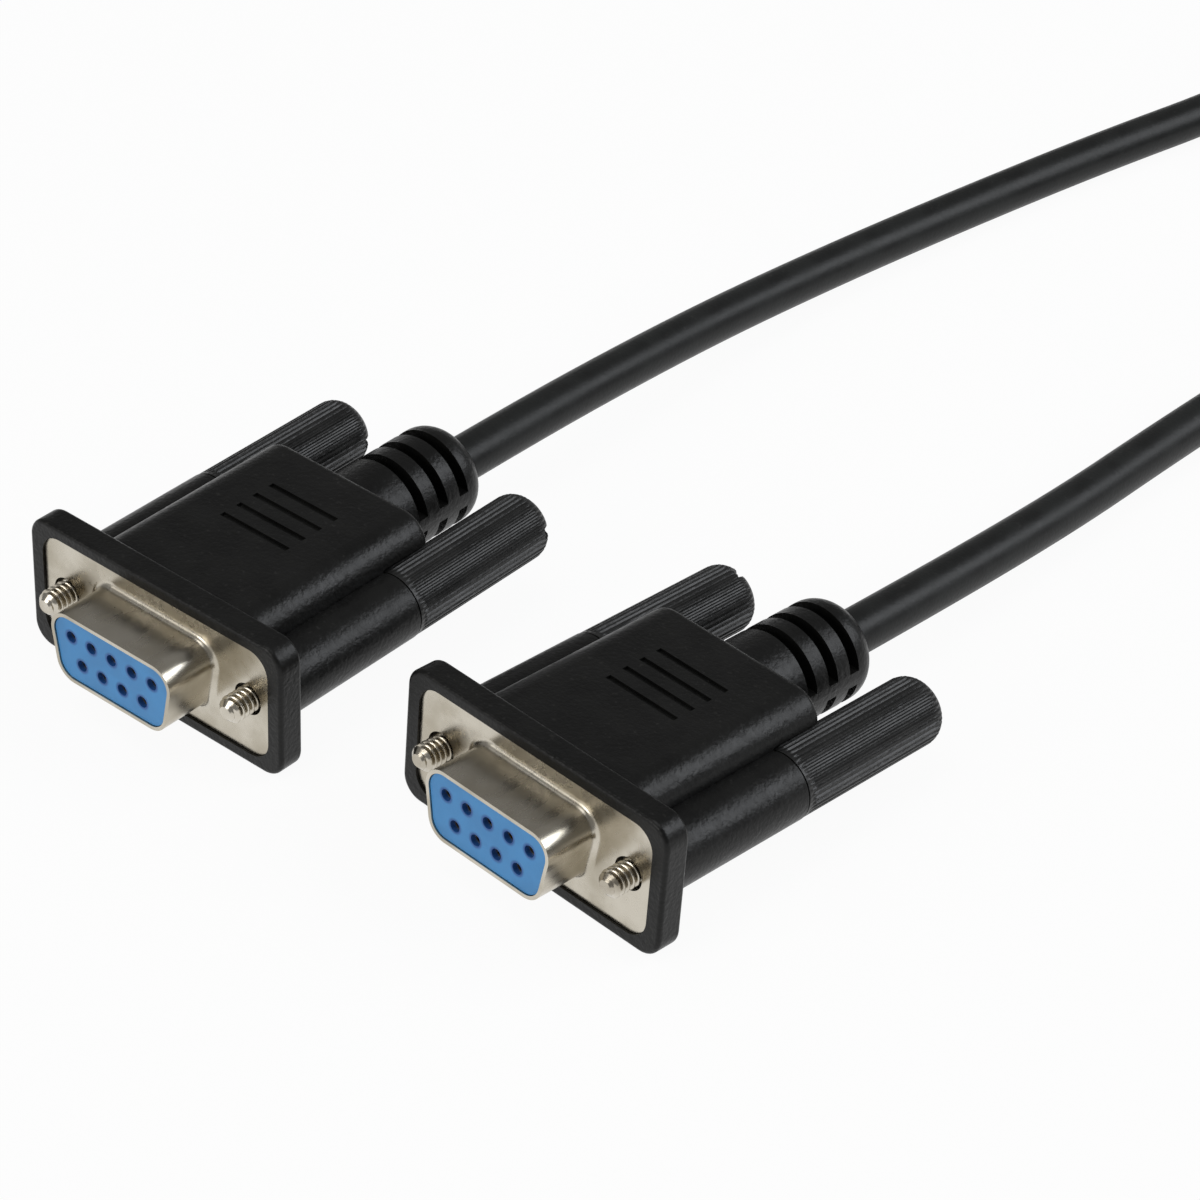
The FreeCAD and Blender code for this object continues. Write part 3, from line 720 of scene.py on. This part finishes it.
@dataclass(frozen=True)
class Studio:
    """A pale floor, an even surround and soft lamps."""

    floor_half: float = 3.0
    shadow_share: float = 0.06
    surround: float = 0.24
    paper_scale: float = 40.0
    paper_dark: Tone = Tone(0.80, 0.80, 0.80)
    paper_light: Tone = Tone(0.84, 0.84, 0.84)
    backdrop: Tone = Tone(1.0, 1.0, 1.0)
    boxes: tuple[SoftBox, ...] = (
        SoftBox("key_box", (0.62, 0.63, 0.58), (0.02, 0.02, 0.0), width=0.70, height=0.50,
                power=5.4, tint=(0.93, 0.96, 1.0)),
        SoftBox("top_box", (-0.10, -0.15, 1.00), (0.02, 0.02, 0.0), width=0.60, height=0.60,
                power=2.4),
        SoftBox("front_box", (-0.25, -0.80, 0.40), (0.02, 0.0, 0.0), width=0.5, height=0.4,
                power=2.8, tint=(1.0, 0.98, 0.95)),
    )

    def make(self) -> None:
        """Build the floor, the surround and the lamps."""
        mesh = bpy.data.meshes.new("studio_floor")
        half = self.floor_half
        corners = [(-half, -half, 0.0), (half, -half, 0.0), (half, half, 0.0), (-half, half, 0.0)]
        mesh.from_pydata(corners, [], [(0, 1, 2, 3)])
        floor = bpy.data.objects.new("studio_floor", mesh)
        bpy.context.scene.collection.objects.link(floor)
        mesh.materials.append(self.floor_material())
        self.make_surround()
        for box in self.boxes:
            box.make()

    def seen_rays(self, sketch: NodeSketch) -> bpy.types.NodeSocket:
        """Whether a ray is seen by the camera, or in metal or glass.

        Args:
            sketch: the tree that asks.

        Returns:
            A value of 0 or 1.
        """
        path = sketch.add("ShaderNodeLightPath")
        seen = sketch.math("MAXIMUM", path.outputs["Is Camera Ray"], path.outputs["Is Glossy Ray"])
        return sketch.math("MAXIMUM", seen, path.outputs["Is Transmission Ray"])

    def floor_material(self) -> bpy.types.Material:
        """A white paper sweep that keeps a faint shadow.

        Returns:
            The material.
        """
        material = bpy.data.materials.new("paper_sweep")
        material.use_nodes = True
        tree = material.node_tree
        tree.nodes.remove(tree.nodes["Principled BSDF"])
        sketch = NodeSketch(tree)
        paper = sketch.add("ShaderNodeBsdfDiffuse")
        fibres = sketch.noise(sketch.object_point(), self.paper_scale)
        sketch.feed(paper.inputs["Color"],
                    sketch.mix(fibres, self.paper_dark.rgba(), self.paper_light.rgba()))
        glow = sketch.add("ShaderNodeEmission")
        blend = sketch.add("ShaderNodeMixShader")
        share = sketch.math("MULTIPLY", self.seen_rays(sketch), 1.0 - self.shadow_share)
        for socket, value in zip(blend.inputs, (share, paper.outputs[0], glow.outputs[0])):
            sketch.feed(socket, value)
        sketch.feed(tree.nodes["Material Output"].inputs["Surface"], blend.outputs[0])
        return material

    def make_surround(self) -> None:
        """Light the scene evenly and show white behind it."""
        world = bpy.data.worlds.new("studio_surround")
        world.use_nodes = True
        sketch = NodeSketch(world.node_tree)
        back = world.node_tree.nodes["Background"]
        back.inputs["Color"].default_value = self.backdrop.rgba()
        path = sketch.add("ShaderNodeLightPath")
        sketch.feed(back.inputs["Strength"],
                    sketch.smooth(path.outputs["Is Camera Ray"], 0.0, 1.0, self.surround, 1.0))
        bpy.context.scene.world = world


# The cord

@dataclass
class Cord:
    """The round cord from one head to the other, with its spare length in a neat coil."""

    diameter: float = 5.0
    length: float = 1.8
    inset: float = 18.0
    straight_reach: float = 48.0
    boot_back: float = 42.8
    route_a: tuple[tuple[float, float, float], ...] = (
        (-0.8, 80.0, 5.2), (0.2, 106.0, 3.2), (3.4, 130.0, 2.5), (7.4, 151.0, 2.5),
        (11.8, 170.0, 2.5), (13.7, 187.0, 2.5))
    route_b: tuple[tuple[float, float, float], ...] = (
        (48.5, 83.0, 3.45), (48.3, 103.0, 2.55), (49.3, 125.0, 2.5), (56.5, 146.0, 2.8),
        (70.5, 158.0, 4.2), (83.4, 170.2, 6.0), (90.2, 183.6, 7.2))
    coil_centre: tuple[float, float] = (52.5, 200.0)
    coil_start: float = 174.0
    coil_outer: float = 38.3
    coil_inner: float = 20.3
    turns_per_layer: float = 3.6
    rise_turns: float = 0.3
    points_per_turn: int = 16
    curve_order: int = 3
    steps_per_span: int = 8
    steps_round: int = 7

    def coil_points(self) -> list[Vector]:
        """Control points of the coil's turns, in millimetres.

        Returns:
            The points, from the far head's side to the near head's side.
        """
        total = 2 * self.turns_per_layer + self.rise_turns
        count = round(total * self.points_per_turn)
        fall = math.cos(math.pi / self.points_per_turn)
        spread = self.coil_outer - self.coil_inner
        points = []
        for number in range(count + 1):
            turn = total * number / count
            inward = min(turn / self.turns_per_layer, 1.0)
            outward = max((turn - self.turns_per_layer - self.rise_turns) / self.turns_per_layer, 0.0)
            radius = (self.coil_outer - spread * (inward - outward)) / fall
            climb = min(max((turn - self.turns_per_layer) / self.rise_turns, 0.0), 1.0)
            height = self.diameter / 2 + climb * climb * (3 - 2 * climb) * self.diameter
            angle = math.radians(self.coil_start) - 2 * math.pi * turn
            points.append(Vector((self.coil_centre[0] + radius * math.cos(angle),
                                  self.coil_centre[1] + radius * math.sin(angle), height)))
        return points

    def route(self) -> list[Vector]:
        """Control points of the whole cord, in metres.

        Returns:
            The points from inside the far head to inside the near head.
        """
        far, near = (place.matrix() for place in HEADS)
        points = [far @ Vector((0, self.inset, 0)), far @ Vector((0, self.straight_reach, 0))]
        points += [Vector(point) * MM for point in self.route_a]
        points += [point * MM for point in self.coil_points()]
        points += [Vector(point) * MM for point in reversed(self.route_b)]
        points += [near @ Vector((0, self.straight_reach, 0)), near @ Vector((0, self.inset, 0))]
        return points

    def make(self, shelf: FinishShelf) -> bpy.types.Object:
        """Args:
            shelf: the finishes.

        Returns:
            The cord's curve object.
        """
        curve = bpy.data.curves.new("cord", "CURVE")
        curve.dimensions = "3D"
        curve.resolution_u = self.steps_per_span
        curve.bevel_depth = self.diameter / 2 * MM
        curve.bevel_resolution = self.steps_round
        curve.use_fill_caps = True
        points = self.route()
        spline = curve.splines.new("NURBS")
        spline.points.add(len(points) - 1)
        for control, point in zip(spline.points, points):
            control.co = (*point, 1.0)
        spline.order_u = self.curve_order
        spline.use_endpoint_u = True
        spline.use_smooth = True
        cord = bpy.data.objects.new("cord", curve)
        bpy.context.scene.collection.objects.link(cord)
        shelf.dress(cord, "cord_jacket")
        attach(cord, "cable")
        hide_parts("cord_a", "cord_coil", "cord_b")
        leave = HEADS[0].matrix() @ Vector((0, self.boot_back, 0))
        return cord


# The thumbscrews

class RuleTree:
    """A geometry node tree with named inputs, and the nodes that it is drawn with."""

    def __init__(self, name: str, sizes: dict[str, float]) -> None:
        """Make the tree, with an input for each size and one for the material.

        Args:
            name: the tree's name.
            sizes: the inputs' names and starting values, whole where they count something.
        """
        self.tree = bpy.data.node_groups.new(name, "GeometryNodeTree")
        self.tree.interface.new_socket("Geometry", in_out="OUTPUT", socket_type="NodeSocketGeometry")
        self.identifiers: dict[str, str] = {}
        for label, value in sizes.items():
            kind = "Int" if isinstance(value, int) else "Float"
            self.add_input(label, kind).default_value = value
        self.add_input("Material", "Material")
        self.given = self.tree.nodes.new("NodeGroupInput").outputs
        self.made = self.tree.nodes.new("NodeGroupOutput").inputs
        self.sketch = NodeSketch(self.tree)

    def add_input(self, label: str, kind: str) -> bpy.types.NodeTreeInterfaceSocket:
        """Add a named input and keep its identifier.

        Args:
            label: its name.
            kind: what it holds.

        Returns:
            The input's socket.
        """
        socket = self.tree.interface.new_socket(label, in_out="INPUT", socket_type=f"NodeSocket{kind}")
        self.identifiers[label] = socket.identifier
        return socket

    def end(self, geometry: bpy.types.NodeSocket) -> None:
        """Realize the geometry, set its material and put it out.

        Args:
            geometry: what the tree has made.
        """
        real = self.sketch.add("GeometryNodeRealizeInstances")
        self.sketch.feed(real.inputs[0], geometry)
        dressed = self.sketch.add("GeometryNodeSetMaterial")
        self.sketch.feed_all(dressed, {"Geometry": real.outputs[0], "Material": self.given["Material"]})
        self.sketch.feed(self.made["Geometry"], dressed.outputs[0])

    def grow(self, name: str, values: dict[str, object], place: Matrix) -> bpy.types.Object:
        """Run the tree once and keep its mesh.

        Args:
            name: the new piece's name.
            values: the inputs' values by name.
            place: from the tree's own frame to the row's.

        Returns:
            A plain mesh object at the origin.
        """
        seed = bpy.data.objects.new(f"{name}_seed", bpy.data.meshes.new(f"{name}_seed"))
        bpy.context.scene.collection.objects.link(seed)
        modifier = seed.modifiers.new("rule", "NODES")
        modifier.node_group = self.tree
        for label, value in values.items():
            modifier[self.identifiers[label]] = value
        seed.update_tag()
        bpy.context.view_layer.update()
        graph = bpy.context.evaluated_depsgraph_get()
        mesh = bpy.data.meshes.new_from_object(seed.evaluated_get(graph))
        seed.modifiers.remove(modifier)
        bpy.data.objects.remove(seed)
        mesh.name = name
        mesh.transform(place)
        piece = bpy.data.objects.new(name, mesh)
        bpy.context.scene.collection.objects.link(piece)
        return piece


def polar_parts(sketch: NodeSketch) -> tuple[bpy.types.NodeSocket, bpy.types.NodeSocket,
                                             bpy.types.NodeSocket]:
    """Split a point's place into its angle, its distance from the axis and its height.

    Args:
        sketch: the tree that asks.

    Returns:
        The angle, the distance and the height.
    """
    across, along, height = sketch.parts(sketch.add("GeometryNodeInputPosition").outputs[0])
    return sketch.math("ARCTAN2", along, across), sketch.distance(across, along), height


def polar_place(sketch: NodeSketch, geometry: bpy.types.NodeSocket, angle: bpy.types.NodeSocket,
                distance: bpy.types.NodeSocket, height: bpy.types.NodeSocket) -> bpy.types.NodeSocket:
    """Move each point to an angle, a distance from the axis and a height.

    Args:
        sketch: the tree.
        geometry: what is moved.
        angle: the new angle.
        distance: the new distance.
        height: the new height.

    Returns:
        The moved geometry.
    """
    across = sketch.math("MULTIPLY", distance, sketch.math("COSINE", angle))
    along = sketch.math("MULTIPLY", distance, sketch.math("SINE", angle))
    moved = sketch.add("GeometryNodeSetPosition")
    sketch.feed_all(moved, {"Geometry": geometry, "Position": sketch.vector(across, along, height)})
    return moved.outputs[0]


def tube_of_rows(sketch: NodeSketch, around: object, rows: object, radius: object,
                 length: object) -> bpy.types.NodeSocket:
    """A closed cylinder that stands on the origin and has many rows of faces.

    Args:
        sketch: the tree.
        around: how many points each row has.
        rows: how many rows there are.
        radius: its radius.
        length: its height.

    Returns:
        The geometry.
    """
    tube = sketch.add("GeometryNodeMeshCylinder", fill_type="TRIANGLE_FAN")
    sketch.feed_all(tube, {"Vertices": around, "Side Segments": rows, "Radius": radius, "Depth": length})
    half = sketch.math("MULTIPLY", length, 0.5)
    return sketch.moved(tube.outputs["Mesh"], sketch.vector(height=half))


def smooth_by_angle(mesh: bpy.types.Mesh, limit: float = 40.0) -> None:
    """Shade a mesh smooth except over its sharp edges.

    Args:
        mesh: the mesh.
        limit: the turn in degrees past which an edge stays sharp.
    """
    mesh.shade_smooth()
    mesh.set_sharp_from_angle(angle=math.radians(limit))


@dataclass
class Jackscrew:
    """The steel screw with its rolled thread."""

    thread_radius: float = 1.42
    root_radius: float = 0.96
    pitch: float = 0.635
    lead: float = 3.1
    thread_back: float = 1.6
    shank_radius: float = 1.2
    shank_back: float = 33.0
    tip_round: float = 0.72
    tip_slope: float = 1.1
    crest_start: float = 0.1
    crest_end: float = 0.9
    rows_per_pitch: int = 14
    shank_rows: int = 4
    around: int = 48

    def sizes(self) -> dict[str, float]:
        """The tree's inputs.

        Returns:
            Their values by name, with lengths in millimetres.
        """
        thread_length = self.lead + self.thread_back
        return {
            "Thread Length": thread_length, "Whole Length": self.lead + self.shank_back,
            "Outer Radius": self.thread_radius, "Root Radius": self.root_radius,
            "Shank Radius": self.shank_radius, "Pitch": self.pitch, "Tip": self.tip_round,
            "Around": self.around, "Rows": round(thread_length / self.pitch * self.rows_per_pitch)}

    def tree(self) -> RuleTree:
        """The tree of a threaded rod that stands on the origin.

        Returns:
            The tree.
        """
        rule = RuleTree("rolled_thread", self.sizes())
        sketch, given = rule.sketch, rule.given
        rod = tube_of_rows(sketch, given["Around"], given["Rows"], given["Outer Radius"],
                           given["Thread Length"])
        angle, distance, height = polar_parts(sketch)
        risen = sketch.math("DIVIDE", height, given["Pitch"])
        turned = sketch.math("DIVIDE", angle, 2 * math.pi)
        phase = sketch.math("FRACT", sketch.math("SUBTRACT", risen, turned))
        ridge = sketch.math("ABSOLUTE", sketch.math("SUBTRACT", sketch.math("MULTIPLY", phase, 2.0), 1.0))
        crest = sketch.smooth(ridge, self.crest_start, self.crest_end)
        depth = sketch.math("SUBTRACT", given["Outer Radius"], given["Root Radius"])
        cut = sketch.math("MULTIPLY_ADD", crest, depth, given["Root Radius"])
        tip_radius = sketch.math("SUBTRACT", given["Outer Radius"], given["Tip"])
        limit = sketch.math("MINIMUM", cut, sketch.math("MULTIPLY_ADD", height, self.tip_slope, tip_radius))
        share = sketch.math("DIVIDE", distance, given["Outer Radius"])
        shaped = polar_place(sketch, rod, angle, sketch.math("MULTIPLY", share, limit), height)
        shank_length = sketch.math("SUBTRACT", given["Whole Length"], given["Thread Length"])
        shank = tube_of_rows(sketch, given["Around"], self.shank_rows, given["Shank Radius"], shank_length)
        joined = sketch.add("GeometryNodeJoinGeometry")
        for part in (shaped, sketch.moved(shank, sketch.vector(height=given["Thread Length"]))):
            sketch.feed(joined.inputs[0], part)
        smooth = sketch.add("GeometryNodeSetShadeSmooth")
        sketch.feed(smooth.inputs["Geometry"], joined.outputs[0])
        rule.end(smooth.outputs[0])
        return rule


@dataclass
class ThumbKnob:
    """The ribbed knob on a screw's end."""

    radius: float = 3.65
    front: float = 20.8
    length: float = 20.2
    end_round: float = 1.9
    rib_count: int = 40
    rib_depth: float = 0.16
    rib_margin: float = 0.7
    margin_start: float = 0.5
    groove_fade: tuple[float, float] = (-0.6, 0.8)
    end_fade: tuple[float, float] = (0.15, 0.55)
    slot_width: float = 1.2
    slot_depth: float = 1.4
    slot_reach: float = 3.0
    samples_per_rib: int = 8
    rows: int = 56

    def sizes(self, slot_turn: float = 0.0) -> dict[str, float]:
        """The tree's inputs.

        Args:
            slot_turn: how far the slot is turned, in degrees.

        Returns:
            Their values by name, with lengths in millimetres.
        """
        return {
            "Radius": self.radius, "Length": self.length, "End Round": self.end_round,
            "Ribs": self.rib_count, "Rib Depth": self.rib_depth, "Margin": self.rib_margin,
            "Slot Width": self.slot_width, "Slot Depth": self.slot_depth,
            "Slot Turn": math.radians(slot_turn), "Around": self.rib_count * self.samples_per_rib,
            "Rows": self.rows}

    def tree(self) -> RuleTree:
        """The tree of a ribbed barrel that stands on the origin, slotted at its top.

        Returns:
            The tree.
        """
        rule = RuleTree("ribbed_barrel", self.sizes())
        sketch, given = rule.sketch, rule.given
        rod = tube_of_rows(sketch, given["Around"], given["Rows"], given["Radius"], given["Length"])
        angle, distance, height = polar_parts(sketch)
        start = sketch.math("SUBTRACT", given["Length"], given["End Round"])
        beyond = sketch.math("DIVIDE", sketch.math("SUBTRACT", height, start), given["End Round"], clamp=True)
        lean = sketch.math("MULTIPLY", beyond, math.pi / 2)
        flat = sketch.math("SUBTRACT", given["Radius"], given["End Round"])
        rounded = sketch.math("MULTIPLY_ADD", given["End Round"], sketch.math("COSINE", lean), flat)
        straight = sketch.math("MINIMUM", height, start)
        risen = sketch.math("MULTIPLY_ADD", given["End Round"], sketch.math("SINE", lean), straight)
        wave = sketch.math("COSINE", sketch.math("MULTIPLY", angle, given["Ribs"]))
        groove = sketch.smooth(wave, *self.groove_fade, 1.0, 0.0)
        margin = sketch.math("MULTIPLY", given["Margin"], self.margin_start)
        mask = sketch.math("MULTIPLY", sketch.smooth(height, margin, given["Margin"]),
                           sketch.smooth(beyond, *self.end_fade, 1.0, 0.0))
        dip = sketch.math("MULTIPLY", sketch.math("MULTIPLY", groove, mask), given["Rib Depth"])
        share = sketch.math("DIVIDE", distance, given["Radius"])
        reach = sketch.math("MULTIPLY", share, sketch.math("SUBTRACT", rounded, dip))
        barrel = polar_place(sketch, rod, angle, reach, risen)
        slotted = sketch.add("GeometryNodeMeshBoolean", operation="DIFFERENCE", solver="EXACT")
        for socket, value in zip(slotted.inputs, (barrel, self.slot_cutter(rule))):
            sketch.feed(socket, value)
        rule.end(slotted.outputs[0])
        return rule

    def slot_cutter(self, rule: RuleTree) -> bpy.types.NodeSocket:
        """The box that cuts the driver slot, centred on the barrel's top.

        Args:
            rule: the barrel's tree.

        Returns:
            The box.
        """
        sketch, given = rule.sketch, rule.given
        box = sketch.add("GeometryNodeMeshCube")
        across = sketch.math("MULTIPLY", given["Radius"], self.slot_reach)
        deep = sketch.math("MULTIPLY", given["Slot Depth"], 2.0)
        sketch.feed(box.inputs["Size"], sketch.vector(given["Slot Width"], across, deep))
        return sketch.moved(box.outputs["Mesh"], sketch.vector(height=given["Length"]),
                            sketch.vector(height=given["Slot Turn"]))


@dataclass
class Thumbscrew:
    """One thumbscrew of a head: its screw and its knob."""

    head: HeadPlace
    side: Side
    screw: Jackscrew
    knob: ThumbKnob
    slot_turn: float
    spacing: float = 24.99

    def place(self, front: float) -> Matrix:
        """From the screw's own frame, standing along its axis, to the row's.

        Args:
            front: how far behind the plate its own origin lies.

        Returns:
            The matrix.
        """
        across = self.spacing / 2 * (-1 if self.side is Side.LEFT else 1)
        lay = Matrix.Rotation(math.radians(-90), 4, "X")
        return self.head.matrix() @ Matrix.Translation((across, front, 0)) @ lay

    def make(self, shelf: FinishShelf, thread: RuleTree, barrel: RuleTree) -> None:
        """Build the screw and the knob.

        Args:
            shelf: the finishes.
            thread: the screw's tree.
            barrel: the knob's tree.
        """
        mark = f"{self.head.tag}_{self.side.value}"
        screw = {**self.screw.sizes(), "Material": shelf.take("screw_steel")}
        knob = {**self.knob.sizes(self.slot_turn), "Material": shelf.take("knob_plastic")}
        rod = thread.grow(f"threaded_screw_{mark}", screw, self.place(-self.screw.lead))
        grip = barrel.grow(f"ribbed_knob_{mark}", knob, self.place(self.knob.front))
        for piece, node, slot in ((rod, f"jackscrew_{mark}", "screw_steel"),
                                  (grip, f"thumb_knob_{mark}", "knob_plastic")):
            smooth_by_angle(piece.data)
            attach(piece, f"thumbscrew_{mark}")
            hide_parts(node)
            log.info("%s: %d faces", piece.name, len(piece.data.polygons))


# The whole part

def dress_frame(shelf: FinishShelf) -> None:
    """Give every carried-over node the finish of its slot.

    Args:
        shelf: the finishes.
    """
    for part in frame["record"]["subparts"]:
        shelf.dress(frame["nodes"][part["node"]], part["material_slot"])


def write_sizes() -> None:
    """Make a helper that turns a box into plain lists; no box is kept."""
    def plain(box: object) -> list[list[float]]:
        """A box as plain lists."""
        return [[float(value) for value in corner] for corner in box]


def main() -> None:
    """Build the studio, then the cord, then the heads' pieces."""
    bpy.context.scene.view_settings.view_transform = "Standard"
    PhotoCamera().make()
    shelf = FinishShelf(EffectGroups(moulding_grain(), handled_dust(), plated_streaks(), contact_hole_shade()))
    Cord().make(shelf)
    Studio().make()
    dress_frame(shelf)
    thread = Jackscrew().tree()
    barrel = ThumbKnob().tree()
    for head in HEADS:
        for side in Side:
            turn = SLOT_TURNS[head.tag, side]
            Thumbscrew(head, side, Jackscrew(), ThumbKnob(), turn).make(shelf, thread, barrel)
    write_sizes()


if __name__ == "__main__":
    main()
